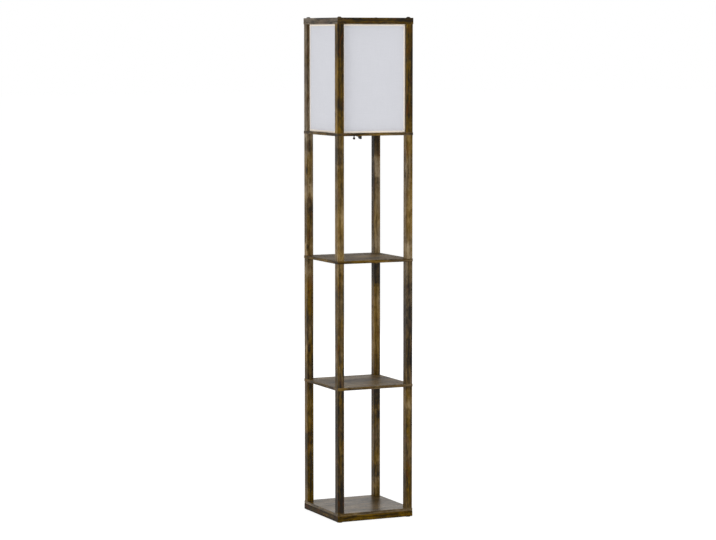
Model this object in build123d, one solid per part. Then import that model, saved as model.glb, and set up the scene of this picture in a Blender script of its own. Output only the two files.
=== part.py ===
from build123d import *
import math
import os

# Shelf floor lamp: a square tower of four corner posts with a base, two open shelves and a box shade on top.
#
# Twelve equal posts carry the boards and four grooved posts hold the fabric panels of the shade. A stud
# through each board corner joins the post below to the post above. The lamp holder stands on the lamp plate,
# and its pull chain comes out under that plate. Millimetres, +Z up, origin on the floor under the middle.
# The front face looks along -Y, and "left" is -X.

# Driving sizes of the tower
PLATE = 264.0
TOTAL_HEIGHT = 1600.0
BASE_HEIGHT = 29.0
BOARD = 9.0
TOP_RAIL_HEIGHT = 20.0
SHADE_POST = 342.0
POST = 22.0
OVERHANG = 1.0
EASED_EDGE = 0.7

# Base and top frame
PAD_THICKNESS = 2.0
PAD_RADIUS = 9.0
BASE_RAIL_WIDTH = 24.0
TOP_RAIL_WIDTH = 23.0

# Shade panels and the grooves that hold them
PANEL_THICKNESS = 1.2
GROOVE_WIDTH = 2.0
POST_GROOVE_DEPTH = 4.5
PLATE_GROOVE_DEPTH = 3.0
RAIL_GROOVE_DEPTH = 4.5
PANEL_END_GAP = 0.5

# Post fasteners: a 6 mm stud or bolt in a threaded insert
STUD_RADIUS = 2.9
STUD_HOLE_RADIUS = 3.3
STUD_GRIP = 11.0
INSERT_OUTER_RADIUS = 4.5
INSERT_INNER_RADIUS = 3.0
INSERT_LENGTH = 12.0
INSERT_HOLE_RADIUS = 4.55
INSERT_HOLE_DEPTH = 13.0
INSERT_SET_BACK = 0.5
BOLT_HEAD_RADIUS = 5.5
BOLT_HEAD_HEIGHT = 3.0
BOLT_RECESS_RADIUS = 6.5
BOLT_RECESS_DEPTH = 6.0
CAP_HEAD_RADIUS = 7.5
CAP_HEAD_HEIGHT = 4.0
HEX_SOCKET_RADIUS = 2.3
HEX_SOCKET_DEPTH = 2.2

# Lamp holder
NIPPLE_RADIUS = 5.0
NIPPLE_BORE_RADIUS = 3.8
NIPPLE_DROP = 7.0
NIPPLE_RISE = 6.0
NIPPLE_HOLE_RADIUS = 5.3
NIPPLE_FIT = 0.05
WASHER_RADIUS = 8.3
WASHER_THICKNESS = 1.0
NUT_ACROSS_FLATS = 14.0
NUT_HEIGHT = 4.0
HOLDER_RADIUS = 20.0
CAP_WALL = 2.0
CAP_FLOOR = 2.5
CAP_HEIGHT = 26.0
INSULATOR_RADIUS = 17.0
INSULATOR_SEAT = 2.0
INSULATOR_FLOOR = 6.0
INSULATOR_HEIGHT = 30.0
SHELL_WALL = 1.9
SHELL_HEIGHT = 36.0
SHELL_GAP = 0.2
SCREW_SHELL_OUTER_RADIUS = 14.0
SCREW_SHELL_INNER_RADIUS = 13.6
SCREW_SHELL_HEIGHT = 22.0
SCREW_SHELL_FIT = 0.05
TONGUE_WIDTH = 6.0
TONGUE_LENGTH = 14.0
TONGUE_THICKNESS = 0.6
TONGUE_LIFT = 2.0

# Bulb
BULB_CAP_RADIUS = 13.2
BULB_CAP_HEIGHT = 22.0
BULB_TIP_RADIUS = 4.8
BULB_TIP_HEIGHT = 2.0
BULB_INSULATOR_HEIGHT = 2.0
BULB_COLLAR_HEIGHT = 30.0
BULB_COLLAR_TOP_RADIUS = 25.0
BULB_GLOBE_RADIUS = 30.0

# Pull switch
CHAIN_X = -14.0
BEAD_RADIUS = 1.6
BEAD_PITCH = 4.0
BEAD_COUNT = 7
CHAIN_WIRE_RADIUS = 0.5
CHAIN_END_DROP = 4.5
CHAIN_HOLE_RADIUS = 2.2
CHAIN_TOP_GAP = 0.6
GUIDE_RADIUS = 4.0
GUIDE_LIP_RADIUS = 5.0
GUIDE_LIP = 1.5
GUIDE_FIT = 0.05
LEVER_PIVOT_X = -4.0
LEVER_PIVOT_RISE = 17.0
LEVER_THICKNESS = 1.6
LEVER_WIDTH = 6.0
LEVER_REACH = 13.2
LEVER_TAIL = 10.0
LEVER_BOSS_RADIUS = 2.6
LEVER_BOSS_WIDTH = 9.2
LEVER_SLOT_WIDTH = 2.6
LEVER_SLOT_LENGTH = 6.2
PIN_RADIUS = 1.0
PIN_LENGTH = 16.0
PIN_SEAT_FIT = 0.02
LEVER_FIT = 0.05
PILLAR_INNER_Y = 5.2
PILLAR_WIDTH = 2.8
PILLAR_LENGTH = 4.0
PILLAR_TOP = 2.0
SPRING_RADIUS = 3.0
SPRING_WIRE_RADIUS = 0.4
SPRING_TURNS = 4
SPRING_END_GAP = 0.1
KNOB_CUP_INNER = 1.9
KNOB_CUP_OUTER = 2.6
KNOB_RIM_ANGLE = 65.0
KNOB_NECK_RADIUS = 1.6
KNOB_NECK_DROP = 3.2
KNOB_BALL_RADIUS = 4.0
KNOB_BALL_DROP = 8.2

# Cord inlet and wiring
GLAND_X = 12.0
GLAND_Y = 6.0
GLAND_RADIUS = 3.8
GLAND_FLANGE_RADIUS = 4.9
GLAND_FLANGE = 1.5
GLAND_DROP = 15.5
GLAND_HOLE_RADIUS = 3.9
SPOUT_DROP = 10.5
SPOUT_LENGTH = 10.0
SPOUT_LIP_RADIUS = 4.4
SPOUT_LIP = 2.5
CORD_BORE_RADIUS = 2.6
CORD_BORE_LENGTH = 7.0
LEAD_BORE_RADIUS = 2.2
LEAD_RADIUS = 0.95
LEAD_OFFSET = 1.15
CONTACT_THICKNESS = 0.8
CONTACT_LEFT_X = 2.0
CONTACT_RIGHT_X = 13.5
CONTACT_FRONT_Y = -1.0
CONTACT_GAP = 0.4
TERMINAL_LENGTH = 3.5
TERMINAL_BACK_Y = 9.0

# Levels worked out from the driving sizes
HALF_PLATE = PLATE / 2
POST_CENTRE = HALF_PLATE - OVERHANG - POST / 2
POST_GAP = 2 * POST_CENTRE - POST
LOWER_POST = (TOTAL_HEIGHT - BASE_HEIGHT - 3 * BOARD - SHADE_POST - TOP_RAIL_HEIGHT) / 3
LOWER_SHELF_Z = BASE_HEIGHT + LOWER_POST
UPPER_SHELF_Z = LOWER_SHELF_Z + BOARD + LOWER_POST
LAMP_PLATE_Z = UPPER_SHELF_Z + BOARD + LOWER_POST
LAMP_PLATE_TOP = LAMP_PLATE_Z + BOARD
TOP_RAIL_Z = TOTAL_HEIGHT - TOP_RAIL_HEIGHT
BASE_BOARD_Z = BASE_HEIGHT - BOARD
CAP_FLOOR_TOP = LAMP_PLATE_TOP + CAP_FLOOR
INSULATOR_Z = LAMP_PLATE_TOP + CAP_HEIGHT - INSULATOR_SEAT
SOCKET_FLOOR_Z = INSULATOR_Z + INSULATOR_FLOOR
BULB_TIP_Z = SOCKET_FLOOR_Z + TONGUE_THICKNESS + TONGUE_LIFT
BULB_CAP_Z = BULB_TIP_Z + BULB_TIP_HEIGHT + BULB_INSULATOR_HEIGHT
BULB_COLLAR_Z = BULB_CAP_Z + BULB_CAP_HEIGHT
BULB_GLOBE_Z = BULB_COLLAR_Z + BULB_COLLAR_HEIGHT
LEVER_Z = LAMP_PLATE_TOP + LEVER_PIVOT_RISE
CHAIN_TOP_Z = LEVER_Z + LEVER_THICKNESS / 2 + CHAIN_TOP_GAP + BEAD_RADIUS
CHAIN_END_Z = LAMP_PLATE_Z - CHAIN_END_DROP
SPOUT_Z = LAMP_PLATE_Z - SPOUT_DROP

CORNERS = {
    "front_left": (-1, -1),
    "front_right": (1, -1),
    "back_left": (-1, 1),
    "back_right": (1, 1),
}
SIDES = {"front": 0, "right": 90, "back": 180, "left": 270}
STAND = (Align.CENTER, Align.CENTER, Align.MIN)
FROM_CORNER = (Align.MIN, Align.MIN, Align.MIN)


def cylinder(radius, low, high, x=0.0, y=0.0):
    """An upright cylinder between two levels."""
    return Pos(x, y, low) * Cylinder(radius, high - low, align=STAND)


def tube(outer, inner, low, high, x=0.0, y=0.0):
    return cylinder(outer, low, high, x, y) - cylinder(inner, low, high, x, y)


def at_corners(piece):
    """Four separate copies of a piece, one on each post's axis."""
    return Compound([Pos(sx * POST_CENTRE, sy * POST_CENTRE, 0) * piece for sx, sy in CORNERS.values()])


def revolved(points):
    """A solid turned about Z from (radius, z) points."""
    outline = Polyline(*[(r, 0, z) for r, z in points], close=True)
    return revolve(make_face(outline), Axis.Z)


def save(name, shape):
    export_step(shape, f"parts/{name}.step")


# Boards, rails and posts


def plain_board(low):
    """A square board with eased edges and a stud hole in each corner."""
    board = Pos(0, 0, low) * Box(PLATE, PLATE, BOARD, align=STAND)
    board = chamfer(board.edges(), EASED_EDGE)
    for sx, sy in CORNERS.values():
        board -= cylinder(STUD_HOLE_RADIUS, low, low + BOARD, sx * POST_CENTRE, sy * POST_CENTRE)
    return board


def lamp_plate():
    """The board under the shade: grooves for the panels, and holes for the nipple, chain guide and gland."""
    plate = plain_board(LAMP_PLATE_Z)
    groove = Pos(0, -POST_CENTRE, LAMP_PLATE_TOP - PLATE_GROOVE_DEPTH) * Box(
        POST_GAP, GROOVE_WIDTH, PLATE_GROOVE_DEPTH, align=STAND
    )
    for angle in SIDES.values():
        plate -= Rot(0, 0, angle) * groove
    holes = (
        (NIPPLE_HOLE_RADIUS, 0, 0),
        (GUIDE_RADIUS + GUIDE_FIT, CHAIN_X, 0),
        (GLAND_HOLE_RADIUS, GLAND_X, GLAND_Y),
    )
    for radius, x, y in holes:
        plate -= cylinder(radius, LAMP_PLATE_Z, LAMP_PLATE_TOP, x, y)
    return plate


def mitred_rail(width, low, height):
    """The front rail of a square frame, its ends cut at 45 degrees."""
    inner = HALF_PLATE - width
    outline = Polyline(
        (-HALF_PLATE, -HALF_PLATE), (HALF_PLATE, -HALF_PLATE), (inner, -inner), (-inner, -inner), close=True
    )
    rail = Pos(0, 0, low) * extrude(make_face(outline), height)
    outer_edges = rail.edges().filter_by(Axis.X).group_by(Axis.Y)[0]
    return chamfer(outer_edges, EASED_EDGE)


def base_rail():
    """One rail of the base frame, with its share of the bolt recesses at the mitres."""
    rail = mitred_rail(BASE_RAIL_WIDTH, PAD_THICKNESS, BASE_BOARD_Z - PAD_THICKNESS)
    recess_top = PAD_THICKNESS + BOLT_RECESS_DEPTH
    for sx in (-1, 1):
        x = sx * POST_CENTRE
        rail -= cylinder(STUD_HOLE_RADIUS, PAD_THICKNESS, BASE_BOARD_Z, x, -POST_CENTRE)
        rail -= cylinder(BOLT_RECESS_RADIUS, PAD_THICKNESS, recess_top, x, -POST_CENTRE)
    return rail


def top_rail():
    """One rail of the top frame, grooved underneath for the panel's upper edge."""
    rail = mitred_rail(TOP_RAIL_WIDTH, TOP_RAIL_Z, TOP_RAIL_HEIGHT)
    rail -= Pos(0, -POST_CENTRE, TOP_RAIL_Z) * Box(POST_GAP, GROOVE_WIDTH, RAIL_GROOVE_DEPTH, align=STAND)
    for sx in (-1, 1):
        rail -= cylinder(STUD_HOLE_RADIUS, TOP_RAIL_Z, TOTAL_HEIGHT, sx * POST_CENTRE, -POST_CENTRE)
    return rail


def post(length):
    """A square post standing on z = 0, bored at both ends for its inserts."""
    stick = Box(POST, POST, length, align=STAND)
    stick = chamfer(stick.edges().filter_by(Axis.Z), EASED_EDGE)
    stick -= cylinder(INSERT_HOLE_RADIUS, 0, INSERT_HOLE_DEPTH)
    return stick - cylinder(INSERT_HOLE_RADIUS, length - INSERT_HOLE_DEPTH, length)


def shade_post(sx, sy):
    """A post of the shade, grooved on the two faces that look inwards."""
    stick = post(SHADE_POST)
    offset = POST / 2 - POST_GROOVE_DEPTH / 2
    stick -= Pos(-sx * offset, 0, 0) * Box(POST_GROOVE_DEPTH, GROOVE_WIDTH, SHADE_POST, align=STAND)
    return stick - Pos(0, -sy * offset, 0) * Box(GROOVE_WIDTH, POST_GROOVE_DEPTH, SHADE_POST, align=STAND)


def shade_panel():
    """The front panel: fabric on a thin plastic sheet, standing in the plate's groove.

    Its sides reach into the posts' grooves, and its narrower top into the groove of the rail.
    """
    tall_low = LAMP_PLATE_TOP - PLATE_GROOVE_DEPTH
    tall_height = TOP_RAIL_Z + RAIL_GROOVE_DEPTH - PANEL_END_GAP - tall_low
    tall_width = POST_GAP - 2 * PANEL_END_GAP
    wide_width = POST_GAP + 2 * (POST_GROOVE_DEPTH - PANEL_END_GAP)
    wide_low = LAMP_PLATE_TOP + PANEL_END_GAP
    wide_height = SHADE_POST - 2 * PANEL_END_GAP
    tall = Pos(0, -POST_CENTRE, tall_low) * Box(tall_width, PANEL_THICKNESS, tall_height, align=STAND)
    wide = Pos(0, -POST_CENTRE, wide_low) * Box(wide_width, PANEL_THICKNESS, wide_height, align=STAND)
    return tall + wide


# Post fasteners


def corner_stud(board_low):
    """A threaded stud through a board corner, with an equal grip in the posts below and above."""
    return cylinder(STUD_RADIUS, board_low - STUD_GRIP, board_low + BOARD + STUD_GRIP)


def hex_prism(radius, low, high):
    return Pos(0, 0, low) * extrude(RegularPolygon(radius, 6), high - low)


def base_bolt():
    """The bolt that goes up through the base into a lower post."""
    head_low = PAD_THICKNESS + BOLT_RECESS_DEPTH - BOLT_HEAD_HEIGHT
    head_high = head_low + BOLT_HEAD_HEIGHT
    bolt = cylinder(BOLT_HEAD_RADIUS, head_low, head_high)
    bolt += cylinder(STUD_RADIUS, head_high, BASE_HEIGHT + STUD_GRIP)
    return bolt - hex_prism(HEX_SOCKET_RADIUS, head_low, head_low + HEX_SOCKET_DEPTH)


def top_cap_bolt():
    """The domed bolt that holds the top frame down on a shade post."""
    dome_radius = (CAP_HEAD_RADIUS**2 + CAP_HEAD_HEIGHT**2) / (2 * CAP_HEAD_HEIGHT)
    crown = TOTAL_HEIGHT + CAP_HEAD_HEIGHT
    dome = Pos(0, 0, crown - dome_radius) * Sphere(dome_radius)
    bolt = dome & cylinder(CAP_HEAD_RADIUS, TOTAL_HEIGHT, crown)
    bolt += cylinder(STUD_RADIUS, TOP_RAIL_Z - STUD_GRIP, TOTAL_HEIGHT)
    return bolt - hex_prism(HEX_SOCKET_RADIUS, crown - HEX_SOCKET_DEPTH, crown)


def post_inserts():
    """The threaded insert in each end of each post on one corner."""
    solids = []
    for foot, length in post_levels():
        for low in (foot + INSERT_SET_BACK, foot + length - INSERT_SET_BACK - INSERT_LENGTH):
            solids.append(tube(INSERT_OUTER_RADIUS, INSERT_INNER_RADIUS, low, low + INSERT_LENGTH))
    return solids


def post_levels():
    """(foot level, length) of the four posts that stand one on another."""
    return (
        (BASE_HEIGHT, LOWER_POST),
        (LOWER_SHELF_Z + BOARD, LOWER_POST),
        (UPPER_SHELF_Z + BOARD, LOWER_POST),
        (LAMP_PLATE_TOP, SHADE_POST),
    )


# Lamp holder


def holder_cap():
    """The cup on the lamp plate that houses the pull switch, with two pillars for the lever's pin."""
    top = LAMP_PLATE_TOP + CAP_HEIGHT
    cup = cylinder(HOLDER_RADIUS, LAMP_PLATE_TOP, top)
    cup = chamfer(cup.edges().filter_by(GeomType.CIRCLE).sort_by(Axis.Z)[0], EASED_EDGE)
    cup -= cylinder(HOLDER_RADIUS - CAP_WALL, CAP_FLOOR_TOP, top)
    pillar_high = LEVER_Z + PILLAR_TOP
    for sy in (-1, 1):
        y = sy * (PILLAR_INNER_Y + PILLAR_WIDTH / 2)
        cup += Pos(LEVER_PIVOT_X, y, CAP_FLOOR_TOP) * Box(
            PILLAR_LENGTH, PILLAR_WIDTH, pillar_high - CAP_FLOOR_TOP, align=STAND
        )
    cup -= lever_pin(PIN_SEAT_FIT)
    cup -= cylinder(NIPPLE_RADIUS + NIPPLE_FIT, LAMP_PLATE_TOP, CAP_FLOOR_TOP)
    cup -= cylinder(CHAIN_HOLE_RADIUS, LAMP_PLATE_TOP, CAP_FLOOR_TOP, CHAIN_X)
    return cup - cylinder(GLAND_HOLE_RADIUS, LAMP_PLATE_TOP, CAP_FLOOR_TOP, GLAND_X, GLAND_Y)


def holder_insulator():
    """The porcelain body round the screw shell, its foot sunk into the cap."""
    seat_top = INSULATOR_Z + INSULATOR_SEAT
    body = cylinder(HOLDER_RADIUS - CAP_WALL - SHELL_GAP, INSULATOR_Z, seat_top)
    body += cylinder(INSULATOR_RADIUS, seat_top, INSULATOR_Z + INSULATOR_HEIGHT)
    socket_radius = SCREW_SHELL_OUTER_RADIUS + SCREW_SHELL_FIT
    return body - cylinder(socket_radius, SOCKET_FLOOR_Z, INSULATOR_Z + INSULATOR_HEIGHT)


def holder_shell():
    """The outer sleeve of the holder, with a rolled rib near its mouth."""
    low = LAMP_PLATE_TOP + CAP_HEIGHT
    high = low + SHELL_HEIGHT
    inner = INSULATOR_RADIUS + SHELL_GAP
    outer = inner + SHELL_WALL
    rib_z = high - 6 * SHELL_WALL
    rib_top = rib_z + 2 * SHELL_WALL
    return revolved([
        (inner, low),
        (HOLDER_RADIUS, low),
        (HOLDER_RADIUS, low + SHELL_WALL),
        (outer, low + 3 * SHELL_WALL),
        (outer, rib_z),
        (outer + SHELL_WALL / 2, rib_z + SHELL_WALL / 2),
        (outer + SHELL_WALL / 2, rib_top - SHELL_WALL / 2),
        (outer, rib_top),
        (outer, high),
        (inner, high),
    ])


def centre_contact():
    """The sprung tongue under the bulb's tip."""
    foot = Pos(0, 0, SOCKET_FLOOR_Z) * Box(TONGUE_LENGTH, TONGUE_WIDTH, TONGUE_THICKNESS, align=STAND)
    lift = TONGUE_THICKNESS + TONGUE_LIFT
    riser = Pos(TONGUE_LENGTH / 2 - TONGUE_THICKNESS / 2, 0, SOCKET_FLOOR_Z) * Box(
        TONGUE_THICKNESS, TONGUE_WIDTH, lift, align=STAND
    )
    blade_low = SOCKET_FLOOR_Z + lift - TONGUE_THICKNESS
    blade = Pos(0, 0, blade_low) * Box(TONGUE_LENGTH, TONGUE_WIDTH, TONGUE_THICKNESS, align=STAND)
    return foot + riser + blade


def nipple():
    """The hollow threaded stem that clamps the holder to the lamp plate."""
    low = LAMP_PLATE_Z - NIPPLE_DROP
    return tube(NIPPLE_RADIUS, NIPPLE_BORE_RADIUS, low, CAP_FLOOR_TOP + NIPPLE_RISE)


def nipple_nut():
    top = LAMP_PLATE_Z - WASHER_THICKNESS
    low = top - NUT_HEIGHT
    corner_radius = NUT_ACROSS_FLATS / 2 / math.cos(math.radians(30))
    return hex_prism(corner_radius, low, top) - cylinder(NIPPLE_RADIUS + NIPPLE_FIT, low, top)


def along_spout(radius, start, end):
    """A cylinder on the spout's axis, between two distances from the middle of the elbow towards +Y."""
    return Pos(0, start, SPOUT_Z) * Rot(-90, 0, 0) * Cylinder(radius, end - start, align=STAND)


def cord_gland():
    """The empty cord inlet: an elbow through the lamp plate, with a spout that points to the back.

    The cord's bore ends at a shoulder, and a narrower bore goes on from there for the two leads.
    """
    top = CAP_FLOOR_TOP + GLAND_FLANGE
    body = cylinder(GLAND_RADIUS, LAMP_PLATE_Z - GLAND_DROP, top)
    body = chamfer(body.edges().filter_by(GeomType.CIRCLE).sort_by(Axis.Z)[0], EASED_EDGE)
    body += cylinder(GLAND_FLANGE_RADIUS, LAMP_PLATE_Z - GLAND_FLANGE, LAMP_PLATE_Z)
    body += along_spout(GLAND_RADIUS, 0, SPOUT_LENGTH)
    body += along_spout(SPOUT_LIP_RADIUS, SPOUT_LENGTH - SPOUT_LIP, SPOUT_LENGTH)
    body -= cylinder(LEAD_BORE_RADIUS, SPOUT_Z, top)
    body -= along_spout(LEAD_BORE_RADIUS, 0, SPOUT_LENGTH)
    body -= along_spout(CORD_BORE_RADIUS, SPOUT_LENGTH - CORD_BORE_LENGTH, SPOUT_LENGTH)
    return Pos(GLAND_X, GLAND_Y, 0) * body


def lead_wires():
    """The two insulated leads from the gland's elbow up to the terminals under the insulator."""
    high = INSULATOR_Z - CONTACT_THICKNESS
    return Compound([
        cylinder(LEAD_RADIUS, SPOUT_Z, high, GLAND_X, GLAND_Y + sy * LEAD_OFFSET) for sy in (-1, 1)
    ])


def switch_contacts():
    """Two brass strips under the insulator: the lever's tail rises to one, the other is a plain terminal.

    Each takes one lead, and the gap between them runs midway between the leads.
    """
    low = INSULATOR_Z - CONTACT_THICKNESS
    switched_length = CONTACT_RIGHT_X - CONTACT_LEFT_X
    switched_width = GLAND_Y - CONTACT_GAP / 2 - CONTACT_FRONT_Y
    switched = Box(switched_length, switched_width, CONTACT_THICKNESS, align=FROM_CORNER)
    plain_width = TERMINAL_BACK_Y - GLAND_Y - CONTACT_GAP / 2
    plain = Box(TERMINAL_LENGTH, plain_width, CONTACT_THICKNESS, align=FROM_CORNER)
    return Compound([
        Pos(CONTACT_LEFT_X, CONTACT_FRONT_Y, low) * switched,
        Pos(CONTACT_RIGHT_X - TERMINAL_LENGTH, TERMINAL_BACK_Y - plain_width, low) * plain,
    ])


# Bulb


def bulb_contact():
    """The bulb's solder tip and the glass bead that insulates it."""
    bead_low = BULB_TIP_Z + BULB_TIP_HEIGHT
    tip = cylinder(BULB_TIP_RADIUS, BULB_TIP_Z, bead_low)
    bead = Cone(BULB_TIP_RADIUS, 2 * BULB_TIP_RADIUS, BULB_INSULATOR_HEIGHT, align=STAND)
    return Compound([tip, Pos(0, 0, bead_low) * bead])


def bulb_collar():
    """The white collar between the screw cap and the globe."""
    return Pos(0, 0, BULB_COLLAR_Z) * Cone(
        BULB_CAP_RADIUS, BULB_COLLAR_TOP_RADIUS, BULB_COLLAR_HEIGHT, align=STAND
    )


def bulb_globe():
    """The frosted globe, cut flat where it meets the collar."""
    drop = math.sqrt(BULB_GLOBE_RADIUS**2 - BULB_COLLAR_TOP_RADIUS**2)
    ball = Pos(0, 0, BULB_GLOBE_Z + drop) * Sphere(BULB_GLOBE_RADIUS)
    return ball & cylinder(BULB_GLOBE_RADIUS, BULB_GLOBE_Z, BULB_GLOBE_Z + drop + BULB_GLOBE_RADIUS)


# Pull switch


def chain_guide():
    """The flanged bush that lines the chain's hole in the lamp plate."""
    lip_low = LAMP_PLATE_Z - GUIDE_LIP
    bush = cylinder(GUIDE_RADIUS, lip_low, LAMP_PLATE_TOP, CHAIN_X)
    bush += cylinder(GUIDE_LIP_RADIUS, lip_low, LAMP_PLATE_Z, CHAIN_X)
    return bush - cylinder(CHAIN_HOLE_RADIUS, lip_low, LAMP_PLATE_TOP, CHAIN_X)


def pull_chain():
    """A bead chain: a row of beads on a wire, with one bead above the lever's fork."""
    chain = cylinder(CHAIN_WIRE_RADIUS, CHAIN_END_Z, CHAIN_TOP_Z, CHAIN_X)
    levels = [CHAIN_END_Z + i * BEAD_PITCH for i in range(BEAD_COUNT)] + [CHAIN_TOP_Z]
    for level in levels:
        chain += Pos(CHAIN_X, 0, level) * Sphere(BEAD_RADIUS)
    return chain


def pull_knob():
    """The chain's end, turned in one piece: a cup that is loose round the last bead, a neck and a ball."""
    angle = math.radians(KNOB_RIM_ANGLE)
    inner_rim = (KNOB_CUP_INNER * math.sin(angle), KNOB_CUP_INNER * math.cos(angle))
    outer_rim = (KNOB_CUP_OUTER * math.sin(angle), KNOB_CUP_OUTER * math.cos(angle))
    inner_arc = ThreePointArc(
        (inner_rim[0], 0, inner_rim[1]),
        (KNOB_CUP_INNER * math.cos(math.pi / 12), 0, -KNOB_CUP_INNER * math.sin(math.pi / 12)),
        (0, 0, -KNOB_CUP_INNER),
    )
    neck_top = (KNOB_CUP_OUTER, 0, -KNOB_CUP_OUTER / 2)
    ball_join = math.sqrt(KNOB_BALL_RADIUS**2 - KNOB_NECK_RADIUS**2)
    ball_top = (KNOB_NECK_RADIUS, 0, -KNOB_BALL_DROP + ball_join)
    ball_bottom = (0, 0, -KNOB_BALL_DROP - KNOB_BALL_RADIUS)
    outline = Wire([
        inner_arc,
        Line((0, 0, -KNOB_CUP_INNER), ball_bottom),
        ThreePointArc(ball_bottom, (KNOB_BALL_RADIUS, 0, -KNOB_BALL_DROP), ball_top),
        Line(ball_top, (KNOB_NECK_RADIUS, 0, -KNOB_NECK_DROP)),
        Line((KNOB_NECK_RADIUS, 0, -KNOB_NECK_DROP), neck_top),
        Line(neck_top, (outer_rim[0], 0, outer_rim[1])),
        Line((outer_rim[0], 0, outer_rim[1]), (inner_rim[0], 0, inner_rim[1])),
    ])
    return Pos(CHAIN_X, 0, CHAIN_END_Z) * revolve(make_face(outline), Axis.Z)


def lever_pin(extra=0.0):
    """The lever's pin, along Y."""
    return Pos(LEVER_PIVOT_X, 0, LEVER_Z) * Rot(90, 0, 0) * Cylinder(PIN_RADIUS + extra, PIN_LENGTH)


def switch_lever():
    """The rocking lever: a fork under the chain's top bead, a boss on the pin and a short tail."""
    length = LEVER_REACH + LEVER_TAIL
    centre_x = LEVER_PIVOT_X + (LEVER_TAIL - LEVER_REACH) / 2
    arm = Pos(centre_x, 0, LEVER_Z) * Box(length, LEVER_WIDTH, LEVER_THICKNESS)
    slot_x = LEVER_PIVOT_X - LEVER_REACH + LEVER_SLOT_LENGTH / 2
    arm -= Pos(slot_x, 0, LEVER_Z) * Box(LEVER_SLOT_LENGTH, LEVER_SLOT_WIDTH, LEVER_THICKNESS)
    boss = Rot(90, 0, 0) * Cylinder(LEVER_BOSS_RADIUS, LEVER_BOSS_WIDTH)
    arm += Pos(LEVER_PIVOT_X, 0, LEVER_Z) * boss
    return arm - lever_pin(LEVER_FIT)


def return_spring():
    """The coil between the cap's floor and the fork, round the chain."""
    low = CAP_FLOOR_TOP + SPRING_WIRE_RADIUS + SPRING_END_GAP
    high = LEVER_Z - LEVER_THICKNESS / 2 - SPRING_WIRE_RADIUS - SPRING_END_GAP
    path = Helix(pitch=(high - low) / SPRING_TURNS, height=high - low, radius=SPRING_RADIUS)
    section = Plane(origin=path @ 0, z_dir=path % 0) * Circle(SPRING_WIRE_RADIUS)
    return Pos(CHAIN_X, 0, low) * sweep(section, path)


def save_tower():
    for name, angle in SIDES.items():
        turn = Rot(0, 0, angle)
        save(f"base_rail_{name}", turn * base_rail())
        save(f"top_rail_{name}", turn * top_rail())
        save(f"shade_panel_{name}", turn * shade_panel())
    save("base_board", plain_board(BASE_BOARD_Z))
    save("lower_shelf", plain_board(LOWER_SHELF_Z))
    save("upper_shelf", plain_board(UPPER_SHELF_Z))
    save("lamp_plate", lamp_plate())
    tiers = ("lower_post", "middle_post", "upper_post", "shade_post")
    for corner, (sx, sy) in CORNERS.items():
        for tier, (foot, length) in zip(tiers, post_levels()):
            stick = shade_post(sx, sy) if tier == "shade_post" else post(length)
            save(f"{tier}_{corner}", Pos(sx * POST_CENTRE, sy * POST_CENTRE, foot) * stick)


def save_fasteners():
    save("foot_pads", at_corners(cylinder(PAD_RADIUS, 0, PAD_THICKNESS)))
    save("base_bolts", at_corners(base_bolt()))
    save("lower_studs", at_corners(corner_stud(LOWER_SHELF_Z)))
    save("middle_studs", at_corners(corner_stud(UPPER_SHELF_Z)))
    save("upper_studs", at_corners(corner_stud(LAMP_PLATE_Z)))
    save("top_cap_bolts", at_corners(top_cap_bolt()))
    placed = [
        Pos(sx * POST_CENTRE, sy * POST_CENTRE, 0) * insert
        for sx, sy in CORNERS.values()
        for insert in post_inserts()
    ]
    save("post_inserts", Compound(placed))


def save_lamp():
    washer_low = LAMP_PLATE_Z - WASHER_THICKNESS
    shell_high = SOCKET_FLOOR_Z + SCREW_SHELL_HEIGHT
    save("holder_nipple", nipple())
    save("nipple_washer", tube(WASHER_RADIUS, NIPPLE_HOLE_RADIUS, washer_low, LAMP_PLATE_Z))
    save("nipple_nut", nipple_nut())
    save("holder_cap", holder_cap())
    save("holder_insulator", holder_insulator())
    save("holder_shell", holder_shell())
    save("screw_shell", tube(SCREW_SHELL_OUTER_RADIUS, SCREW_SHELL_INNER_RADIUS, SOCKET_FLOOR_Z, shell_high))
    save("centre_contact", centre_contact())
    save("cord_gland", cord_gland())
    save("lead_wires", lead_wires())
    save("switch_contacts", switch_contacts())
    save("bulb_contact", bulb_contact())
    save("bulb_cap", cylinder(BULB_CAP_RADIUS, BULB_CAP_Z, BULB_COLLAR_Z))
    save("bulb_collar", bulb_collar())
    save("bulb_globe", bulb_globe())


def save_switch():
    save("chain_guide", chain_guide())
    save("pull_chain", pull_chain())
    save("pull_knob", pull_knob())
    save("switch_lever", switch_lever())
    save("lever_pin", lever_pin())
    save("return_spring", return_spring())


os.makedirs("parts", exist_ok=True)
save_tower()
save_fasteners()
save_lamp()
save_switch()
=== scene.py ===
# %% [markdown]
# # Dressing a shelf floor lamp
#
# The lamp is a square tower: four slim posts in three tiers carry a base and two open shelves, and a box
# shade with fabric panels stands on top. All of it is board and batten wrapped in a dark rustic wood print.
#
# The engineering model holds every piece at its real size. This script keeps the wooden pieces and prints
# them, and it makes anew what a workshop would turn, weave or mould: the shade's cloth, the bulb, the
# holder's sleeve, the bead chain and the domed bolts. Lengths are metres.

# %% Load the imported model
import math

import bmesh
import bpy
from mathutils import Matrix, Vector


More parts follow.
